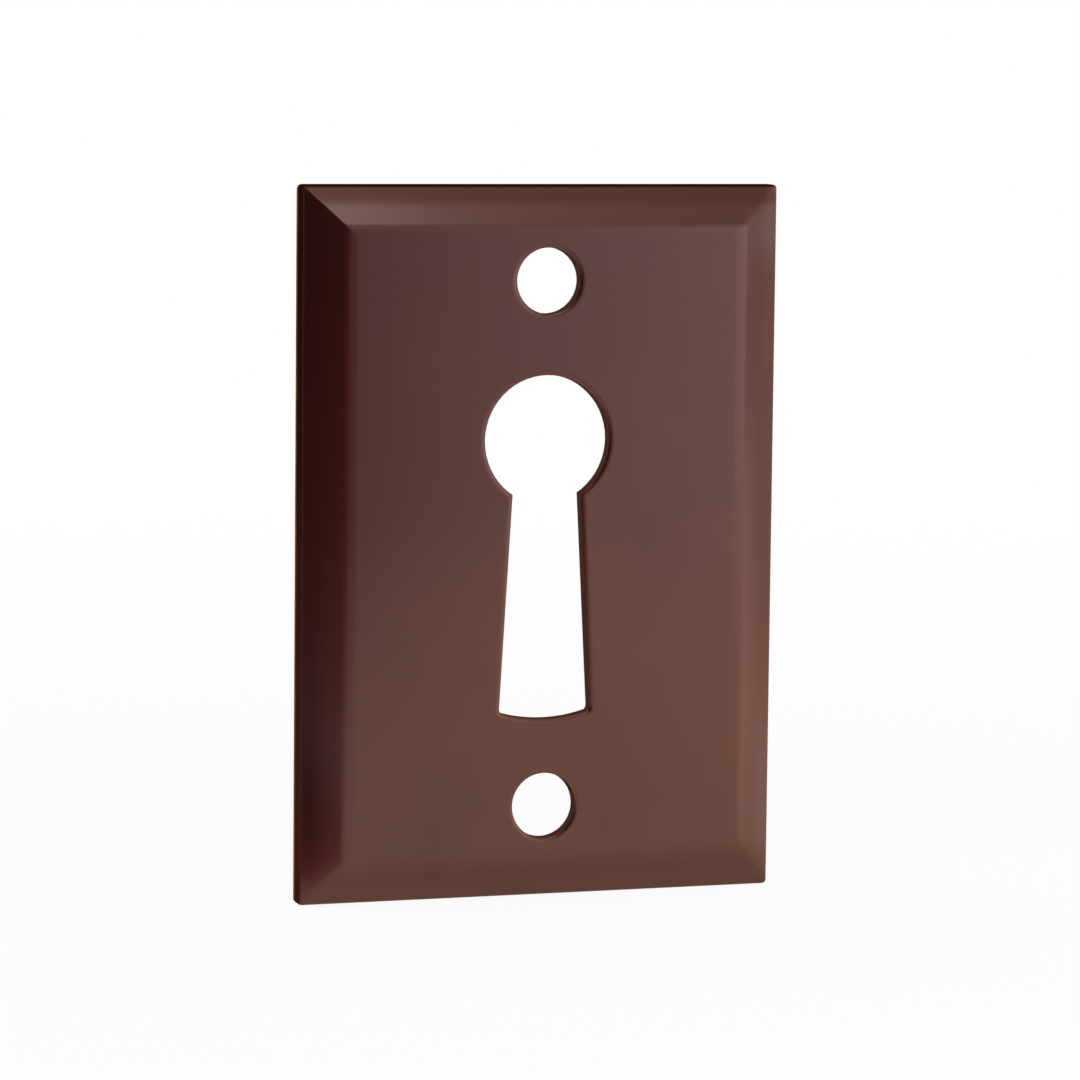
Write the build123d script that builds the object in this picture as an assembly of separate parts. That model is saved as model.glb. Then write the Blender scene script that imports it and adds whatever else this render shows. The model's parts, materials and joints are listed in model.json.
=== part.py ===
from build123d import *
import math
import os

# A keyhole escutcheon: a small plate, pressed from one sheet, that is screwed over a keyhole in a door or
# a drawer front. Millimetres. X is the width, Z the height, and the front faces -Y. The origin is the middle
# of the plane that the rim rests on, and a height off that plane is measured towards the front.

# Driving dimensions of the plate.
PLATE_HEIGHT = 44.45
PLATE_WIDTH = 30.9
FACE_RISE = 2.55
EDGE_HEIGHT = 1.0
BEVEL_WIDTH = 2.5
SHEET = 0.9
REST_LAND = 0.7

# Driving dimensions of its rounded corners and bends.
RIM_CORNER_RADIUS = 0.25
FACE_BEND_RADIUS = 2.5
EDGE_ROUNDING = 0.18

# Driving dimensions of the two screw holes.
SCREW_HOLE_DIAMETER = 4.08
SCREW_HOLE_SPACING = 32.7

# Driving dimensions of the keyhole. Heights are from the middle of the plate.
KEY_ROUND_DIAMETER = 8.04
KEY_ROUND_CENTRE = 6.5
KEY_NECK_WIDTH = 4.4
KEY_FOOT_WIDTH = 5.92
KEY_FOOT_LOWEST = -10.9
KEY_FOOT_RADIUS = 9.65
KEY_FOOT_CORNER_RADIUS = 0.3
KEY_NECK_CORNER_RADIUS = 0.1

# The rounding that punching and polishing leave on the front rim of each opening.
OPENING_ROUNDING = 0.42

# A cut starts and ends this far clear of the material.
CUT_CLEARANCE = 1.0

# The underside, which keeps the sheet's thickness round the bend.
bevel_angle = math.atan2(FACE_RISE - EDGE_HEIGHT, BEVEL_WIDTH)
underside_rise = FACE_RISE - SHEET
underside_inset = BEVEL_WIDTH + SHEET * math.tan(bevel_angle / 2)
underside_bend_radius = FACE_BEND_RADIUS - SHEET

# The plane of a section through the left side: the sheet runs in from the side, and up is towards the front.
SECTION_PLANE = Plane((0, 0, 0), x_dir=(1, 0, 0), z_dir=(0, 0, -1))


def level(height):
    """The plane across the plate at a height off the rest plane, with its normal to the front."""
    return Plane.XZ.offset(height)


def round_corner(section, corner, radius):
    """Rounds the corner of a section that lies at a point."""
    return fillet(section.vertices().sort_by_distance(Vector(*corner))[:1], radius)


def sheet_section(side, middle):
    """The sheet from the upright edge of one side, over the bevel and its bend, to the middle of the face."""
    shoulder = (side, EDGE_HEIGHT)
    bend = (side + BEVEL_WIDTH, FACE_RISE)
    underside_bend = (side + underside_inset, underside_rise)
    outside = [(side, 0), shoulder, bend, (middle, FACE_RISE)]
    inside = [(middle, underside_rise), underside_bend, (side + REST_LAND, 0)]
    section = make_face(Polyline(*outside, *inside, close=True))
    section = round_corner(section, shoulder, EDGE_ROUNDING)
    section = round_corner(section, bend, FACE_BEND_RADIUS)
    return round_corner(section, underside_bend, underside_bend_radius)


def mitred_side(distance, length):
    """The left side of the sheet, at a distance from the plate's centre, cut along the mitre at both ends."""
    side = -distance
    middle = side + min(PLATE_WIDTH, PLATE_HEIGHT) / 2
    run = extrude(SECTION_PLANE * sheet_section(side, middle), length / 2 + CUT_CLEARANCE, both=True)
    base = side - CUT_CLEARANCE
    end = length / 2 + CUT_CLEARANCE
    wedge = make_face(Polyline((base, -end), (base, end), (side + length / 2, 0), close=True))
    return run & extrude(level(-CUT_CLEARANCE) * wedge, FACE_RISE + 2 * CUT_CLEARANCE)


def pressed_sheet():
    """The pressed sheet before it is punched: four sides that meet in mitres, in an outline with round corners."""
    upright = mitred_side(PLATE_WIDTH / 2, PLATE_HEIGHT)
    lying = mitred_side(PLATE_HEIGHT / 2, PLATE_WIDTH)
    sheet = upright + Rot(0, 180, 0) * upright + Rot(0, 90, 0) * lying + Rot(0, 270, 0) * lying
    outline = level(-CUT_CLEARANCE) * RectangleRounded(PLATE_WIDTH, PLATE_HEIGHT, RIM_CORNER_RADIUS)
    return sheet & extrude(outline, FACE_RISE + 2 * CUT_CLEARANCE)


def keyhole_outline():
    """A round for the key's shank over a slot for its bit, flared towards an arched foot."""
    round_radius = KEY_ROUND_DIAMETER / 2
    neck = KEY_NECK_WIDTH / 2
    foot = KEY_FOOT_WIDTH / 2
    neck_height = KEY_ROUND_CENTRE - math.sqrt(round_radius**2 - neck**2)
    foot_height = KEY_FOOT_LOWEST + KEY_FOOT_RADIUS - math.sqrt(KEY_FOOT_RADIUS**2 - foot**2)
    flare = (foot - neck) / (neck_height - foot_height)
    top = neck - flare * (KEY_ROUND_CENTRE - neck_height)

    left_foot = (-foot, foot_height)
    right_foot = (foot, foot_height)
    sides = Polyline(left_foot, (-top, KEY_ROUND_CENTRE), (top, KEY_ROUND_CENTRE), right_foot)
    arch = ThreePointArc(right_foot, (0, KEY_FOOT_LOWEST), left_foot)
    slot = make_face(sides.edges() + arch.edges())
    # The circle starts inside the slot, so that no seam is left on the round wall.
    key_round = Pos(0, KEY_ROUND_CENTRE) * Rot(0, 0, -90) * Circle(round_radius)

    outline = key_round + slot
    outline = fillet(outline.vertices().sort_by(Axis.Y)[:2], KEY_FOOT_CORNER_RADIUS)
    neck_corners = outline.vertices().sort_by(lambda v: abs(v.Y - neck_height))[:2]
    return fillet(neck_corners, KEY_NECK_CORNER_RADIUS)


def openings():
    """The keyhole and the two screw holes, as one sketch on the plate."""
    holes = keyhole_outline()
    for side in (-1, 1):
        holes += Pos(0, side * SCREW_HOLE_SPACING / 2) * Circle(SCREW_HOLE_DIAMETER / 2)
    return holes


def escutcheon_plate():
    """The finished plate, with rounded rims on the front of its openings."""
    plate = pressed_sheet()
    through = extrude(level(-CUT_CLEARANCE) * openings(), FACE_RISE + 2 * CUT_CLEARANCE)
    plate = plate - through
    face = plate.faces().sort_by(Axis.Y)[0]
    rims = [edge for wire in face.inner_wires() for edge in wire.edges()]
    return fillet(rims, OPENING_ROUNDING)


plate = escutcheon_plate()
box = plate.bounding_box()
print("plate", box.size, "volume", round(plate.volume, 1), "mm3")

os.makedirs("parts", exist_ok=True)
export_step(plate, "parts/escutcheon_plate.step")
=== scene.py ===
# %% [markdown]
# A keyhole escutcheon is the small plate that is screwed over a keyhole, so that the key doesn't chew the
# wood. This one is pressed from a single sheet of bronze, darkened and lacquered. The lesson has three parts:
# the plate is modelled with Blender's operators, it gets a finish that holds up close, and a studio shows it.

import json
import math

import bmesh
import bpy
from mathutils import Matrix, Vector


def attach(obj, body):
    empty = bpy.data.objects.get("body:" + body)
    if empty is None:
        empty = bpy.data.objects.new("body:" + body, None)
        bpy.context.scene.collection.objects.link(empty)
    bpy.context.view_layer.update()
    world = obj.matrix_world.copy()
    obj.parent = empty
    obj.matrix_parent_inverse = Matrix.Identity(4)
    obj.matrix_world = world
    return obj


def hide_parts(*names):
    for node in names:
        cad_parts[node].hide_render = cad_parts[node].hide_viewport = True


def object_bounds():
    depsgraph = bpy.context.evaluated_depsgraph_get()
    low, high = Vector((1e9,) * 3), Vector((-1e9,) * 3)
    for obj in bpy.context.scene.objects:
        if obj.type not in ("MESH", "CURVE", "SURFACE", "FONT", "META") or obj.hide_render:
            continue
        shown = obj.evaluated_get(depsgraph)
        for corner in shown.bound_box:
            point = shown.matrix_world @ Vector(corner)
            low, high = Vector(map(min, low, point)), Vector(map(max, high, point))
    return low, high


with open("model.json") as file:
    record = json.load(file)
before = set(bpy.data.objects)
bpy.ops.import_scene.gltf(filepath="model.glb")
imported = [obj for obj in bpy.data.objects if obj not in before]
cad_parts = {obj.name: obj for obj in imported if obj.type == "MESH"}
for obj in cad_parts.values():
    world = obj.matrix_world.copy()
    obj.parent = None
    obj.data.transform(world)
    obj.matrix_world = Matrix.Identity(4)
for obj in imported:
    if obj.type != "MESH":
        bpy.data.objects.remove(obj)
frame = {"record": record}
cad_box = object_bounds()
low, high = cad_box
MM = 0.001
WIDTH, RISE, HEIGHT = [(b - a) / MM for a, b in zip(low, high)]
print("solid, in millimetres:", round(WIDTH, 2), "wide,", round(RISE, 2), "deep,", round(HEIGHT, 2), "tall")

# %% [markdown]
# The plate has the solid's size and shape. The solid itself could be shown, but its mesh is made for
# measuring: at each bend the light breaks into a hard line, and its corners are as sharp as a drawing's. A
# polished pressing has soft bends, a slightly crowned bevel and mitres that the buffing wheel has broken, so
# it is modelled again as a metalworker would press it. A block gets its outline, and three insets raise its
# front: two make the bevel, the first a little steeper than the second, and the third lets the face fall off
# softly beside the bend. Two on the back sink the hollow. The work is done in millimetres, because the bevel
# tool is made for sizes near one.

# %% A helper that selects by a test


def pick(kind, wanted):
    """Selects the faces or edges of the piece in edit mode that pass a test, and nothing else."""
    bpy.ops.mesh.select_mode(type=kind)
    bpy.ops.mesh.select_all(action="DESELECT")
    mesh = bmesh.from_edit_mesh(bpy.context.object.data)
    chosen = [part for part in (mesh.faces if kind == "FACE" else mesh.edges) if wanted(part)]
    for part in chosen:
        part.select_set(True)
    mesh.select_flush_mode()
    bmesh.update_edit_mesh(bpy.context.object.data)
    return len(chosen)


# %% A block with raised bevel and hollow back
EDGE = 1.0
BEVEL = 2.5
CROWN = 0.12
FALL = 0.035
FALL_WIDTH = 0.6
SHEET = 0.9
LAND = 0.7

half_rise = (RISE - EDGE) / 2
crown_rise = EDGE + half_rise + CROWN
slope = math.atan2(RISE - EDGE, BEVEL)
inner_slope = math.atan2(half_rise - CROWN - FALL, BEVEL / 2)
fall_slope = math.atan2(FALL, FALL_WIDTH)
hollow_inset = BEVEL + SHEET * math.tan(slope / 2)
front_steps = ((BEVEL / 2, half_rise + CROWN), (BEVEL / 2, half_rise - CROWN - FALL), (FALL_WIDTH, FALL))
back_steps = ((LAND, 0), (hollow_inset - LAND, SHEET - RISE))

bpy.ops.object.select_all(action="DESELECT")
bpy.ops.mesh.primitive_cube_add(size=1, location=(0, -EDGE / 2, 0), scale=(WIDTH, EDGE, HEIGHT))
plate = bpy.context.object
plate.name = "pressed_plate"
bpy.ops.object.transform_apply(location=True, rotation=True, scale=True)
bpy.ops.object.mode_set(mode="EDIT")
pick("FACE", lambda face: face.normal.y < -0.9)
for inset, step in front_steps:
    bpy.ops.mesh.inset(thickness=inset, depth=step, use_even_offset=True)
pick("FACE", lambda face: face.normal.y > 0.9)
for inset, step in back_steps:
    bpy.ops.mesh.inset(thickness=inset, depth=step, use_even_offset=True)
print("bevel of", round(math.degrees(slope), 1), "degrees, crowned by", CROWN, "mm")

# %% [markdown]
# Each kind of edge has its own softness: a bend round the face with a gentle fall beside it, a long crown
# along the bevel, a small shoulder, and a corner where the outline turns. They could be bevelled one by one,
# but then the edges would have to be found again after each step. So one Bevel modifier makes them all, and
# the weight of an edge says how much of its width that edge gets. For an arc of radius R that turns by an
# angle, the width is R times the tangent of half the angle. The mitres have no weight, so the bends meet
# there in a sharp line.

# %% Rounded bends, shoulder and corners
BEND_RADIUS = 1.2
HOLLOW_RADIUS = 1.1
BEND_SEGMENTS = 10
BEND_PROFILE = 0.55
CLOSE = 0.001


def at_rise(edge, rise):
    """True if an edge lies at this height over the plane that the plate rests on. The front faces -Y."""
    return all(abs(vertex.co.y + rise) < CLOSE for vertex in edge.verts)


softness = {
    "bend": (BEND_RADIUS * math.tan((inner_slope - fall_slope) / 2), lambda edge: at_rise(edge, RISE - FALL)),
    "fall": (0.20, lambda edge: at_rise(edge, RISE)),
    "crown": (0.60, lambda edge: at_rise(edge, crown_rise)),
    "hollow": (HOLLOW_RADIUS * math.tan(slope / 2), lambda edge: at_rise(edge, RISE - SHEET)),
    "shoulder": (0.16, lambda edge: at_rise(edge, EDGE)),
    "corner": (0.35, lambda edge: sorted(round(vertex.co.y, 3) for vertex in edge.verts) == [-EDGE, 0]),
}
widest = max(width for width, wanted in softness.values())
for name, (width, wanted) in softness.items():
    count = pick("EDGE", wanted)
    bpy.ops.transform.edge_bevelweight(value=width / widest)
    print(count, "edges of the", name, "rounded by", round(width, 2), "mm")
bpy.ops.object.mode_set(mode="OBJECT")
rounding = plate.modifiers.new("rounded_edges", "BEVEL")
rounding.limit_method = "WEIGHT"
rounding.width = widest
rounding.segments = BEND_SEGMENTS
rounding.profile = BEND_PROFILE
rounding.use_clamp_overlap = False
bpy.ops.object.modifier_apply(modifier="rounded_edges")

# %% [markdown]
# Now each mitre is a chain of short edges, from the shoulder up over the crown and the bend, where it fades
# out in the flat of the face. Its points are as far from the one side as from the other, which is how it is
# found. The buffing wheel ran over the plate from the right: the two right mitres are broken most, and the
# upper left one is almost as crisp as it was pressed. A weight in the last step would have made them meet
# bevels of other widths at every level, so each gets a bevel of its own now, over the finished bends.

# %% Mitres broken by buffing
BROKEN = {(-1, 1): 0.10, (-1, -1): 0.35, (1, 1): 0.50, (1, -1): 0.50}
MITRE_SEGMENTS = 6


def on_mitre(edge, side, end):
    """True for a short edge of the front that runs down the corner on one side and at one end."""
    corner = all(vertex.co.x * side > 0 and vertex.co.z * end > 0 for vertex in edge.verts)
    gaps = [(WIDTH / 2 - abs(vertex.co.x), HEIGHT / 2 - abs(vertex.co.z)) for vertex in edge.verts]
    diagonal = all(abs(across - down) < 0.002 for across, down in gaps)
    return corner and diagonal and all(face.normal.y < -0.1 for face in edge.link_faces)


bpy.ops.object.mode_set(mode="EDIT")
for (side, end), width in BROKEN.items():
    count = pick("EDGE", lambda edge: on_mitre(edge, side, end))
    bpy.ops.mesh.bevel(offset=width, segments=MITRE_SEGMENTS, profile=BEND_PROFILE, affect="EDGES",
                       clamp_overlap=False)
    print(count, "edges of a mitre broken by", width, "mm")
bpy.ops.object.mode_set(mode="OBJECT")

# %% [markdown]
# The openings are punched. They could be drawn into the face and cut out there, but a punch goes through the
# front and the hollow back at once, as in the workshop. Each punch is a mesh of its own that a Boolean
# modifier takes away from the plate. The key's slot starts as a block: its top and bottom are widened to the
# flare, a large disc gives it the arched foot, and its two lower corners are rounded. The round for the key's
# shank and the screw holes are discs. Their sizes come from the record, which states the holes as mounts.

# %% Sizes of the openings
NECK_HALF = 2.2
FOOT_HALF = 2.96
FOOT_LOWEST = -10.9
FOOT_RADIUS = 9.65

mounts = {mount["name"]: mount for mount in frame["record"]["mounts"]}
hole_radius = mounts["screw_holes"]["dims"]["hole_r_mm"]
hole_height = mounts["screw_holes"]["dims"]["spacing_y_mm"] / 2
round_radius = mounts["key_round"]["dims"]["r_mm"]
round_height = mounts["key_round"]["pos_m"][2] / MM
neck_height = round_height - math.sqrt(round_radius**2 - NECK_HALF**2)
foot_centre = FOOT_LOWEST + FOOT_RADIUS
foot_height = foot_centre - math.sqrt(FOOT_RADIUS**2 - FOOT_HALF**2)
flare = (FOOT_HALF - NECK_HALF) / (neck_height - foot_height)
slot_half = NECK_HALF + flare * neck_height
print("screw holes of", 2 * hole_radius, "mm, a round of", 2 * round_radius, "mm")

# %% Punches
PUNCH_LENGTH = 8


def disc_punch(height, radius, sides):
    """A round punch through the plate, at a height on its middle line."""
    bpy.ops.object.select_all(action="DESELECT")
    bpy.ops.mesh.primitive_cylinder_add(vertices=sides, radius=radius, depth=PUNCH_LENGTH,
                                        location=(0, 0, height), rotation=(math.pi / 2, 0, 0))
    bpy.ops.object.transform_apply(location=True, rotation=True, scale=True)
    return bpy.context.object


def cut(piece, punch, operation):
    """Applies a punch to a piece, and removes the punch."""
    bpy.ops.object.select_all(action="DESELECT")
    piece.select_set(True)
    bpy.context.view_layer.objects.active = piece
    boolean = piece.modifiers.new("punch", "BOOLEAN")
    boolean.object = punch
    boolean.operation = operation
    boolean.solver = "EXACT"
    bpy.ops.object.modifier_apply(modifier="punch")
    bpy.data.objects.remove(punch)


# %% The slot's punch
SLOT_SPARE = 2
FOOT_CORNER = 0.3
FOOT_CORNER_SEGMENTS = 6
ARCH_SIDES = 256

slot_bottom = FOOT_LOWEST - SLOT_SPARE
bpy.ops.object.select_all(action="DESELECT")
bpy.ops.mesh.primitive_cube_add(size=1, location=(0, 0, (round_height + slot_bottom) / 2),
                                scale=(2, PUNCH_LENGTH, round_height - slot_bottom))
slot_punch = bpy.context.object
bpy.ops.object.transform_apply(location=True, rotation=True, scale=True)
bpy.ops.object.mode_set(mode="EDIT")
for height in (round_height, slot_bottom):
    pick("FACE", lambda face: abs(face.calc_center_median().z - height) < CLOSE)
    bpy.ops.transform.resize(value=(slot_half - flare * height, 1, 1), center_override=(0, 0, 0))
bpy.ops.object.mode_set(mode="OBJECT")
cut(slot_punch, disc_punch(foot_centre, FOOT_RADIUS, ARCH_SIDES), "INTERSECT")
bpy.ops.object.mode_set(mode="EDIT")


def at_foot_corner(edge):
    """True for an edge along the punch where a slanted side meets the arch."""
    along = abs(edge.verts[0].co.y - edge.verts[1].co.y) > 1
    corner = all(abs(abs(v.co.x) - FOOT_HALF) < 0.02 and v.co.z < foot_height + 0.05 for v in edge.verts)
    return along and corner


count = pick("EDGE", at_foot_corner)
bpy.ops.mesh.bevel(offset=FOOT_CORNER, segments=FOOT_CORNER_SEGMENTS, profile=0.5, affect="EDGES",
                   clamp_overlap=False)
bpy.ops.object.mode_set(mode="OBJECT")
print("slot", round(2 * NECK_HALF, 2), "mm wide at the neck,", count, "rounded corners at the foot")

# %% [markdown]
# A punch drags the sheet down with it before it breaks through, so the front rim of an opening rolls over
# softly and only then drops into the wall. A round bevel would be too even. This one starts almost flat, with
# a profile that is squarer than a circle, and its faces are then pressed towards the front to half their
# depth. The round has few sides, each longer than the bevel takes up at the neck, because on short ones the
# faces would fold.

# %% Punching, and the rims
ROUND_SIDES = 56
HOLE_SIDES = 96
ROLL_WIDTH = 0.50
ROLL_DEPTH = 0.25
ROLL_SEGMENTS = 12
ROLL_PROFILE = 0.7
FLAT = 0.00001
WELD = 0.0005

cut(plate, slot_punch, "DIFFERENCE")
cut(plate, disc_punch(round_height, round_radius, ROUND_SIDES), "DIFFERENCE")
for height in (hole_height, -hole_height):
    cut(plate, disc_punch(height, hole_radius, HOLE_SIDES), "DIFFERENCE")


def on_rim(edge):
    """True for an edge between the flat of the face and the wall of an opening."""
    return at_rise(edge, RISE) and any(abs(face.normal.y) < 0.1 for face in edge.link_faces)


def on_roll(face):
    """True for a narrow face between the flat of the face and the wall of an opening."""
    centre = face.calc_center_median()
    across = abs(centre.x) < WIDTH / 2 - hollow_inset - 1
    along = abs(centre.z) < hole_height + hole_radius + ROLL_WIDTH
    return across and along and FLAT < centre.y + RISE < ROLL_WIDTH


bpy.ops.object.mode_set(mode="EDIT")
count = pick("EDGE", on_rim)
bpy.ops.mesh.bevel(offset=ROLL_WIDTH, segments=ROLL_SEGMENTS, profile=ROLL_PROFILE, affect="EDGES",
                   clamp_overlap=False, loop_slide=False)
pressed = pick("FACE", on_roll)
bpy.ops.transform.resize(value=(1, ROLL_DEPTH / ROLL_WIDTH, 1), center_override=(0, -RISE, 0))
bpy.ops.mesh.select_all(action="SELECT")
bpy.ops.mesh.remove_doubles(threshold=WELD)
print(count, "edges of the rims rolled over, in", pressed, "faces")

# %% [markdown]
# The mesh is brought from millimetres to metres while it is still in edit mode, so that the object keeps a
# scale of 1. Smooth shading hides the facets of the bends, which a finer mesh would do at a higher price.
# Weighted normals let each flat rule over the narrow strips beside it, so that flats stay flat to their very
# edge. The plate then takes the solid's place.

# %% Metres, smooth shading and the place in the frame
SMOOTH_ANGLE = math.radians(30)

bpy.ops.transform.resize(value=(MM, MM, MM), center_override=(0, 0, 0))
mesh = bmesh.from_edit_mesh(plate.data)
open_edges = sum(len(edge.link_faces) != 2 for edge in mesh.edges)
volume = mesh.calc_volume() / MM**3
bpy.ops.object.mode_set(mode="OBJECT")
bpy.ops.object.shade_smooth_by_angle(angle=SMOOTH_ANGLE)
even = plate.modifiers.new("even_normals", "WEIGHTED_NORMAL")
even.keep_sharp = True
bpy.ops.object.modifier_apply(modifier="even_normals")
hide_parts("escutcheon_plate")
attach(plate, "root")
print("plate of", len(plate.data.polygons), "faces,", round(volume, 1), "mm3,", open_edges, "open edges")

# %% [markdown]
# A shader is a web of small nodes. Wiring them one by one hides the arithmetic, so one class wraps the output
# of a node: adding or multiplying two of them adds a Math node, and any other kind of node comes from one
# method.

# %% A wrapper for the shader's wires


class Wire:
    """The output of one shader node. Arithmetic on it adds Math nodes."""

    def __init__(self, tree, socket):
        self.tree = tree
        self.socket = socket

    @classmethod
    def node(cls, tree, kind, settings=None, inputs=None, output=0):
        """Adds a node: its settings come first, then the values or wires of its sockets."""
        made = tree.nodes.new(kind)
        for name, value in (settings or {}).items():
            setattr(made, name, value)
        for key, value in (inputs or {}).items():
            if isinstance(value, Wire):
                tree.links.new(value.socket, made.inputs[key])
            else:
                made.inputs[key].default_value = value
        return cls(tree, made.outputs[output])

    def maths(self, operation, *values):
        return Wire.node(self.tree, "ShaderNodeMath", {"operation": operation}, dict(enumerate(values)))

    def __add__(self, other):
        return self.maths("ADD", self, other)

    __radd__ = __add__

    def __sub__(self, other):
        return self.maths("SUBTRACT", self, other)

    def __rsub__(self, other):
        return self.maths("SUBTRACT", other, self)

    def __mul__(self, other):
        return self.maths("MULTIPLY", self, other)

    __rmul__ = __mul__

    def __abs__(self):
        return self.maths("ABSOLUTE", self)

    def root(self):
        return self.maths("SQRT", self)

    def least(self, other):
        return self.maths("MINIMUM", self, other)

    def most(self, other):
        return self.maths("MAXIMUM", self, other)

    def fade(self, start, end):
        """0 up to start and 1 from end, with a soft ramp between. It runs down if end is the lower one."""
        steps = {"From Min": min(start, end), "From Max": max(start, end)}
        ends = {"To Min": 0.0, "To Max": 1.0} if start < end else {"To Min": 1.0, "To Max": 0.0}
        return Wire.node(self.tree, "ShaderNodeMapRange", {"interpolation_type": "SMOOTHSTEP"},
                         {"Value": self, **steps, **ends})

    def feed(self, shader, socket):
        self.tree.links.new(self.socket, shader.inputs[socket])


# %% [markdown]
# The finish needs to know where on the plate it is. A picture could be wrapped round the plate, but it would
# blur up close and need an unwrapped mesh. Object coordinates give the place in metres, in the same frame as
# the solid, and the normal tells the front from the back and from the cut walls. Noise at several sizes gives
# the unevenness of a finish that was put on in a bath.

# %% Places and noise on the plate
bronze = bpy.data.materials.new("darkened_bronze")
bronze.use_nodes = True
tree = bronze.node_tree
shader = tree.nodes["Principled BSDF"]
place = Wire.node(tree, "ShaderNodeTexCoord", output="Object")
facing = Wire.node(tree, "ShaderNodeTexCoord", output="Normal")
x, y, z = [Wire.node(tree, "ShaderNodeSeparateXYZ", {}, {0: place}, axis) for axis in "XYZ"]
facing_back = Wire.node(tree, "ShaderNodeSeparateXYZ", {}, {0: facing}, "Y")
wall = abs(facing_back).fade(0.6, 0.25)
behind = facing_back.fade(0.3, 0.7)


def noise(size, detail=2.0, roughness=0.5):
    """Noise whose blotches are about this size, from 0 to 1 with most of it near the middle."""
    return Wire.node(tree, "ShaderNodeTexNoise", {},
                     {"Vector": place, "Scale": 0.5 / size, "Detail": detail, "Roughness": roughness})


def mix(share, first, second):
    """A colour between two others."""
    return Wire.node(tree, "ShaderNodeMix", {"data_type": "RGBA"}, {0: share, 6: first, 7: second}, 2)


print(len(tree.nodes), "nodes tell the place and the side")

# %% [markdown]
# Hands and keys rub a plate along its rims, so the wear follows the distance to the nearest rim. It could be
# painted on by hand, but the sizes are known already and give it exactly. For the outline it is the distance
# to the sides of a rectangle. For a hole it is the distance to its centre less its radius. The keyhole joins
# a round and a slot: the slot is the part that lies inside both slanted sides and above the arched foot,
# which is the largest of those distances, and joining two holes takes the least.

# %% Distance to the rims


def past_circle(centre, radius):
    """How far a point is outside a circle on the plate's middle line, whose sizes are in millimetres."""
    rise = z - centre * MM
    return (x * x + rise * rise).root() - radius * MM


from_left = x - low.x
from_right = high.x - x
from_top = high.z - z
from_bottom = z - low.z
from_outline = (high.x - abs(x)).least(high.z - abs(z))
slot_sides = abs(x) - (slot_half * MM - flare * z)
slot = slot_sides.most(past_circle(foot_centre, FOOT_RADIUS)).most(z - round_height * MM)
keyhole = past_circle(round_height, round_radius).least(slot)
holes = past_circle(hole_height, hole_radius).least(past_circle(-hole_height, hole_radius))
from_opening = keyhole.least(holes)
print(len(tree.nodes), "nodes with the distances")

# %% [markdown]
# The real plate is bronze that was darkened in a bath and then lacquered. Under the clear lacquer
# the metal is a deep red brown. A single brown would look like paint, and the bath never colours so
# evenly. It drifts at random between purple and a warmer brown, and is warmer along the bevel. It also
# leans towards the darker purple in the upper part and the lighter warm brown below, which is painted
# shade, darker towards the top. One noise with blotches of several millimetres drives the random
# drift, and a finer one clouds it. The left bevel, which the black card leaves dark, is given a redder
# and lighter brown of its own: a painted colour for its shade. It ends at two mitres, so a point is on
# it if the left side is nearer than the top and the bottom.
# The back was never polished, and is stained in blotches.

# %% The colours of the patina, and painted shade
PURPLE_BROWN = (0.088, 0.0166, 0.0130, 1)
WARM_BROWN = (0.119, 0.0320, 0.0130, 1)
BEVEL_BROWN = (0.105, 0.0260, 0.0087, 1)
SHADED_BEVEL_RED = (0.185, 0.0310, 0.0290, 1)
CLOUD_BROWN = (0.070, 0.0150, 0.0110, 1)
BACK_BROWN = (0.085, 0.0300, 0.0190, 1)
BACK_STAIN = (0.040, 0.0150, 0.0110, 1)
PAINTED_SHADE_PER_METRE = 14

# Painted shade: the z term makes the top a darker purple and the bottom a lighter warm brown.
drift_and_painted_shade = (noise(9 * MM) - z * PAINTED_SHADE_PER_METRE).fade(0.25, 0.80)
bevel = from_outline.fade(3.4 * MM, 1.6 * MM)
below_top = (from_top - from_left).fade(0, 0.10 * MM)
above_bottom = (from_bottom - from_left).fade(0.25 * MM, 0.55 * MM)
# Painted shade colour: the left bevel, dark under the black card, gets a redder, lighter brown.
shaded_left_bevel = from_left.fade(3.2 * MM, 2.2 * MM) * below_top * above_bottom
cloud = noise(2.5 * MM, 4.0).fade(0.45, 0.75)
stain = noise(4 * MM, 5.0, 0.6).fade(0.40, 0.70)
patina = mix(drift_and_painted_shade, PURPLE_BROWN, WARM_BROWN)
patina = mix(0.70 * bevel, patina, BEVEL_BROWN)
# The painted shade colour of the left bevel.
patina = mix(0.55 * shaded_left_bevel, patina, SHADED_BEVEL_RED)
patina = mix(0.20 * cloud, patina, CLOUD_BROWN)
patina = mix(0.80 * behind, patina, mix(stain, BACK_BROWN, BACK_STAIN))
print(len(tree.nodes), "nodes with the patina")

# %% [markdown]
# The walls of the openings and the upright edge are bare of lacquer, and their dark brown is painted
# shade. The shoulder along the top and the left is bare and painted dark as well, and the edge is
# painted darkest high up: painted shade, darker towards the top. They could be a second material on
# their own faces, but a mask from the normal fades softly over the edge.

# %% The dark walls and edges, painted shade
# Painted shade colours for the walls and the edge.
SHADED_WALL_BROWN = (0.085, 0.0310, 0.0250, 1)
SHADED_EDGE_BROWN = (0.020, 0.0052, 0.0038, 1)
LOW_SHADED_EDGE_BROWN = (0.046, 0.0125, 0.0085, 1)

# Painted shade: the shoulder along the top and the left is darkened.
shoulder = from_top.least(from_left).fade(0.24 * MM, 0.08 * MM) * (1 - behind)
bare_and_shaded = wall.most(shoulder)
# Painted shade: the edge's brown is darkest high up.
shaded_edge_tone = mix(z.fade(15 * MM, -20 * MM), SHADED_EDGE_BROWN, LOW_SHADED_EDGE_BROWN)
shaded_bare_tone = mix(from_outline.fade(1.0 * MM, 0.5 * MM), SHADED_WALL_BROWN, shaded_edge_tone)
# The walls, the edge and the shoulder take their painted shade here.
patina = mix(bare_and_shaded, patina, shaded_bare_tone)
print(len(tree.nodes), "nodes with the walls")

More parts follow.
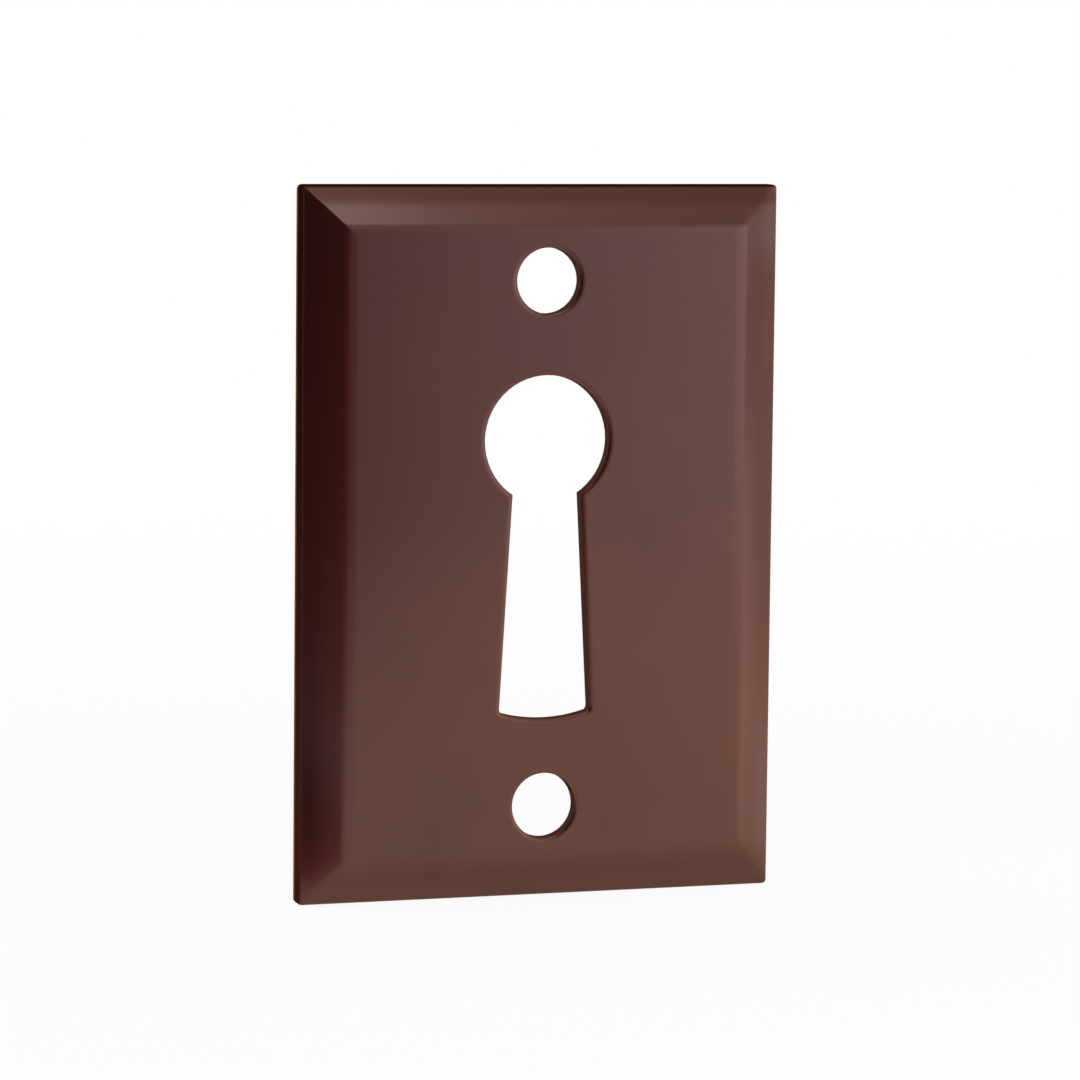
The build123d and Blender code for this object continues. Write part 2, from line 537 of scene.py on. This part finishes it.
# %% [markdown]
# Where the finish is rubbed thin, copper shows, least on the rims of the openings. The copper line on
# the sharp back edge of the outline, where the sheet was cut, and the one on the right shoulder are
# worn copper and also a painted highlight: the rim of light that these edges catch. The pointiness of
# the mesh could find the edges, but it would treat them all alike, so ramps on the distances give each
# its own share. A fine noise breaks each line up, because no hand rubs evenly.

# %% Worn edges, with painted highlights
# Copper for wear, and for the painted highlight on the cut edge and the right shoulder.
COPPER_WEAR_AND_HIGHLIGHT = (0.30, 0.075, 0.020, 1)
CUT_WEAR_AND_HIGHLIGHT = 0.90
SHOULDER_WEAR_AND_HIGHLIGHT = 0.50
RIM_WEAR = 0.25

forward = 0 - y
patchy = noise(0.8 * MM, 3.0).fade(0.30, 0.70)
# Worn copper and a painted highlight along the back edge of the cut.
worn_lit_cut_edge = wall * from_outline.fade(0.10 * MM, 0.02 * MM) * forward.fade(0.50 * MM, 0.20 * MM)
# Worn copper and a painted highlight along the right shoulder.
worn_lit_right_shoulder = from_right.fade(0.30 * MM, 0.05 * MM) * forward.fade(0.60 * MM, 0.90 * MM)
rim = from_opening.fade(0.30 * MM, 0.05 * MM) * (1 - wall)
rubbed_and_highlit = (CUT_WEAR_AND_HIGHLIGHT * worn_lit_cut_edge).most(RIM_WEAR * rim).most(SHOULDER_WEAR_AND_HIGHLIGHT * worn_lit_right_shoulder)
worn_and_highlit = rubbed_and_highlit * (0.5 + 0.5 * patchy) * (1 - behind)
tone = mix(worn_and_highlit, patina, COPPER_WEAR_AND_HIGHLIGHT)
tone.feed(shader, "Base Color")
print(len(tree.nodes), "nodes with the wear")

# %% [markdown]
# The lacquer is a clear coat: it mirrors the room in white, over a metal that mirrors it in brown and more
# softly. That is why the bright parts of the plate look greyer than the dark ones. A bare brown metal would
# be just as brown in both. The lacquer is thinner on the bevel, but gathered on the inner half of the upper
# one, and it is gone from the worn places, the cut walls and the back. The walls are so dull with the bath's
# deposit that they no longer mirror as metal does. Handling makes the gloss uneven, so a noise of a few
# millimetres moves the roughness up and down.

# %% The gloss
SATIN = 0.452
UNEVENNESS = 0.10
DULLNESS = 0.25
METAL = 0.95
THINNING = 0.34
LACQUER_SATIN = 0.24
GRAZING_TINT = (0.6, 0.45, 0.4, 1)

handled = noise(5 * MM, 3.0) - 0.5
satin = SATIN + UNEVENNESS * handled + DULLNESS * bare_and_shaded.most(0.6 * behind)
satin.feed(shader, "Roughness")
metal = METAL - METAL * bare_and_shaded
metal.feed(shader, "Metallic")
gathered = from_top.fade(0.9 * MM, 1.5 * MM) * from_top.fade(6.0 * MM, 3.0 * MM)
thin = bevel * (1 - gathered)
lacquer = (1 - THINNING * thin) * (1 - bare_and_shaded.most(behind).most(worn_and_highlit))
lacquer.feed(shader, "Coat Weight")
shader.inputs["Coat Roughness"].default_value = LACQUER_SATIN
shader.inputs["Specular IOR Level"].default_value = 0.0
shader.inputs["Specular Tint"].default_value = GRAZING_TINT
print("metal of roughness", SATIN, "under lacquer of", LACQUER_SATIN)

# %% [markdown]
# Pressing leaves the face not quite flat, brushing leaves a grain that is finer than the eye can split, and
# the bath pits the walls and the back. In the mesh this would take millions of faces, and it is too small to
# change the outline. So all three are heights in metres for a Bump node with a distance of 1, which tilts the
# normal and leaves the shape alone.

# %% The grain
RIPPLE_HEIGHT = 0.030 * MM
GRAIN_HEIGHT = 0.0012 * MM
PIT_DEPTH = 0.012 * MM

ripple = noise(7 * MM, 1.0)
grain = noise(0.14 * MM, 3.0, 0.6)
pitting = noise(0.5 * MM, 2.0).fade(0.62, 0.80) * behind.most(wall)
relief = RIPPLE_HEIGHT * ripple + GRAIN_HEIGHT * grain - PIT_DEPTH * pitting
bumped = Wire.node(tree, "ShaderNodeBump", {}, {"Strength": 1.0, "Distance": 1.0, "Height": relief})
bumped.feed(shader, "Normal")
plate.data.materials.clear()
plate.data.materials.append(bronze)
print("finish of", len(tree.nodes), "nodes on", plate.name)

# %% [markdown]
# The camera stands a little to the left of the plate and a little above it, with a long lens, so that the
# plate's sides run almost parallel. Turned by eye, it would hardly bring all the edges into place at once. So
# its place was found from the photograph's outline and openings, and is given as three turns, a distance and
# a small shift across the picture.

# %% The camera
FOCAL_PIXELS = 4740
IMAGE_WIDTH = 1080
AZIMUTH = math.radians(17.95)
ELEVATION = math.radians(6.17)
ROLL = math.radians(0.61)
DISTANCE = 296 * MM
SHIFT_RIGHT = 0.363 * MM
SHIFT_UP = 0.034 * MM

toward = Vector((-math.sin(AZIMUTH) * math.cos(ELEVATION), -math.cos(AZIMUTH) * math.cos(ELEVATION),
                 math.sin(ELEVATION)))
right = Vector((math.cos(AZIMUTH), -math.sin(AZIMUTH), 0))
up = right.cross(-toward)
turned_right = math.cos(ROLL) * right + math.sin(ROLL) * up
turned_up = math.cos(ROLL) * up - math.sin(ROLL) * right
eye = SHIFT_RIGHT * turned_right + SHIFT_UP * turned_up + DISTANCE * toward
turn = Matrix((turned_right, turned_up, toward)).transposed().to_4x4()

lens = bpy.data.cameras.new("camera")
lens.sensor_width = 36
lens.lens = FOCAL_PIXELS / IMAGE_WIDTH * lens.sensor_width
lens.clip_start = 0.01
camera = bpy.data.objects.new("camera", lens)
camera.matrix_world = Matrix.Translation(eye) @ turn
bpy.context.scene.collection.objects.link(camera)
bpy.context.scene.camera = camera
print("lens", round(lens.lens, 1), "mm, standing", round(eye.length / MM), "mm away")

# %% [markdown]
# The plate stands on white paper in a white tent. A paper that is only lit would come out grey, so this one
# glows as well, for rays that see it straight or mirrored in the metal. Near the plate the glow leaves a
# share to the light, so that a faint shadow shows, and further off it turns into the tent's own white, so
# that no horizon does.

# %% The floor
FLOOR_SIZE = 6
PAPER_WHITE = (0.92, 0.92, 0.92, 1)
STRAIGHT_GLOW = 0.92
MIRRORED_GLOW = 0.78
LIT_WITHIN = 0.03
WHITE_BEYOND = 0.25

bpy.ops.object.select_all(action="DESELECT")
bpy.ops.mesh.primitive_plane_add(size=FLOOR_SIZE, location=(0, 0, low.z))
floor = bpy.context.object
floor.name = "floor"
white = bpy.data.materials.new("white_floor")
white.use_nodes = True
tree = white.node_tree
floor_place = Wire.node(tree, "ShaderNodeTexCoord", output="Object")
far_off = Wire.node(tree, "ShaderNodeVectorMath", {"operation": "LENGTH"}, {0: floor_place}, "Value")
far_off = far_off.fade(LIT_WITHIN, WHITE_BEYOND)
camera_ray, glossy_ray, through_ray = [Wire.node(tree, "ShaderNodeLightPath", output=f"Is {ray} Ray")
                                       for ray in ("Camera", "Glossy", "Transmission")]
straight = camera_ray.most(through_ray) * (STRAIGHT_GLOW + (1 - STRAIGHT_GLOW) * far_off)
mirrored = glossy_ray * (MIRRORED_GLOW + (1 - MIRRORED_GLOW) * far_off)
glow_share = straight.most(mirrored)
paper = Wire.node(tree, "ShaderNodeBsdfDiffuse", {}, {"Color": PAPER_WHITE})
glow = Wire.node(tree, "ShaderNodeEmission", {}, {"Color": (1, 1, 1, 1), "Strength": 1.0})
shown = Wire.node(tree, "ShaderNodeMixShader", {}, {0: glow_share, 1: paper, 2: glow})
shown.feed(tree.nodes["Material Output"], "Surface")
floor.data.materials.append(white)
print("floor", round(-low.z / MM, 2), "mm below the plate's middle")

# %% [markdown]
# A metal shows its surroundings more than its lamps, so the tent is drawn first: white round the horizon,
# and dimmer overhead, which lets the upper bevel go a shade darker than the face. In an evenly white tent all
# sides of the metal would look alike.

# %% The tent
ROOF = 0.63
DIMS_FROM = 0.34
DIMS_TO = 0.64

world = bpy.data.worlds.new("tent")
world.use_nodes = True
bpy.context.scene.world = world
tree = world.node_tree
way = Wire.node(tree, "ShaderNodeTexCoord", output="Generated")
overhead = Wire.node(tree, "ShaderNodeSeparateXYZ", {}, {0: way}, "Z").fade(DIMS_FROM, DIMS_TO)
strength = 1 - overhead * (1 - ROOF)
strength.feed(tree.nodes["Background"], "Strength")
tree.nodes["Background"].inputs["Color"].default_value = (1, 1, 1, 1)
bpy.context.scene.view_settings.view_transform = "Standard"
dim_angles = [round(math.degrees(math.asin(height))) for height in (DIMS_FROM, DIMS_TO)]
print("the tent dims between", dim_angles, "degrees above the floor")

# %% [markdown]
# Bare bulbs would make hard glints on the metal, so all the lamps are softboxes with a flat front. One at the
# right gives the face its slow brightening from left to right. A small one beside it and one that lies on the
# floor light the right bevel, the one on the floor mostly its foot. A tall one above lights the upper bevel,
# and a narrow one puts the white gleam into its left end. Each but the lying one is placed by an angle to the
# right of straight ahead, an angle above the floor and a distance.

# %% The softboxes


def aim(thing, azimuth, elevation, distance):
    """Puts a lamp or a card at a place in the studio, facing the plate. Angles are in degrees."""
    a, e = math.radians(azimuth), math.radians(elevation)
    way = Vector((math.sin(a) * math.cos(e), -math.cos(a) * math.cos(e), math.sin(e)))
    thing.location = distance * way
    thing.rotation_euler = way.to_track_quat("Z", "Y").to_euler()


def softbox(name, wide, tall, radiance):
    """A lamp with a flat white front. Radiance 1 is as bright as the tent's white walls."""
    lamp = bpy.data.lights.new(name, "AREA")
    lamp.shape = "RECTANGLE"
    lamp.size = wide
    lamp.size_y = tall
    lamp.energy = radiance * math.pi * wide * tall
    holder = bpy.data.objects.new(name, lamp)
    holder.visible_camera = False
    bpy.context.scene.collection.objects.link(holder)
    print(name, "of", round(wide / MM), "by", round(tall / MM), "mm")
    return holder


key = softbox("key_softbox", 0.1082, 0.1113, 1.08)
aim(key, 38.0, 6.1, 0.207)
side_lamp = softbox("side_softbox", 0.0360, 0.0225, 0.70)
aim(side_lamp, 67.4, -7.4, 0.084)
floor_lamp = softbox("floor_softbox", 0.07, 0.04, 0.58)
floor_lamp.location = (0.062, -0.012, low.z + 0.3 * MM)
floor_lamp.rotation_euler = (math.pi, 0, 0)
top_lamp = softbox("top_softbox", 0.0365, 0.1163, 0.60)
aim(top_lamp, -5.9, 39.7, 0.114)
gleam_lamp = softbox("gleam_softbox", 0.0190, 0.0480, 2.30)
aim(gleam_lamp, 7.0, 57.0, 0.112)

# %% [markdown]
# A black card on the left is what makes the left bevel dark: metal is only as bright as what it mirrors. A
# darker colour would do it too, but would stay dark from every side. The card is folded, with its foot on the
# floor, so that the white paper doesn't shine into the bevel from below. Another one stands further back,
# where the right rims of the openings look. The cards show in mirrored rays alone, so they neither shade the
# plate nor stand in the picture.

# %% The black cards
black = bpy.data.materials.new("black_card")
black.use_nodes = True
black.node_tree.nodes["Principled BSDF"].inputs["Base Color"].default_value = (0.01, 0.01, 0.01, 1)
black.node_tree.nodes["Principled BSDF"].inputs["Roughness"].default_value = 0.9


def black_card(name, wide, deep):
    """A flat black card that only mirrored rays see."""
    bpy.ops.object.select_all(action="DESELECT")
    bpy.ops.mesh.primitive_plane_add(size=1)
    card = bpy.context.object
    card.name = name
    card.scale = (wide, deep, 1)
    card.visible_camera = False
    card.visible_diffuse = False
    card.visible_shadow = False
    card.data.materials.append(black)
    print(name, "of", round(wide / MM), "by", round(deep / MM), "mm")
    return card


card = black_card("black_card", 0.190, 0.136)
aim(card, -37.4, 0, 0.088)
card.location.z = low.z + 0.068
foot = black_card("black_card_foot", 0.057, 0.042)
foot.location = (-0.0495, -0.012, low.z + 0.1 * MM)
rear = black_card("black_card_rear", 0.12, 0.11)
aim(rear, -105, 0, 0.08)
rear.location.z = low.z + 0.055
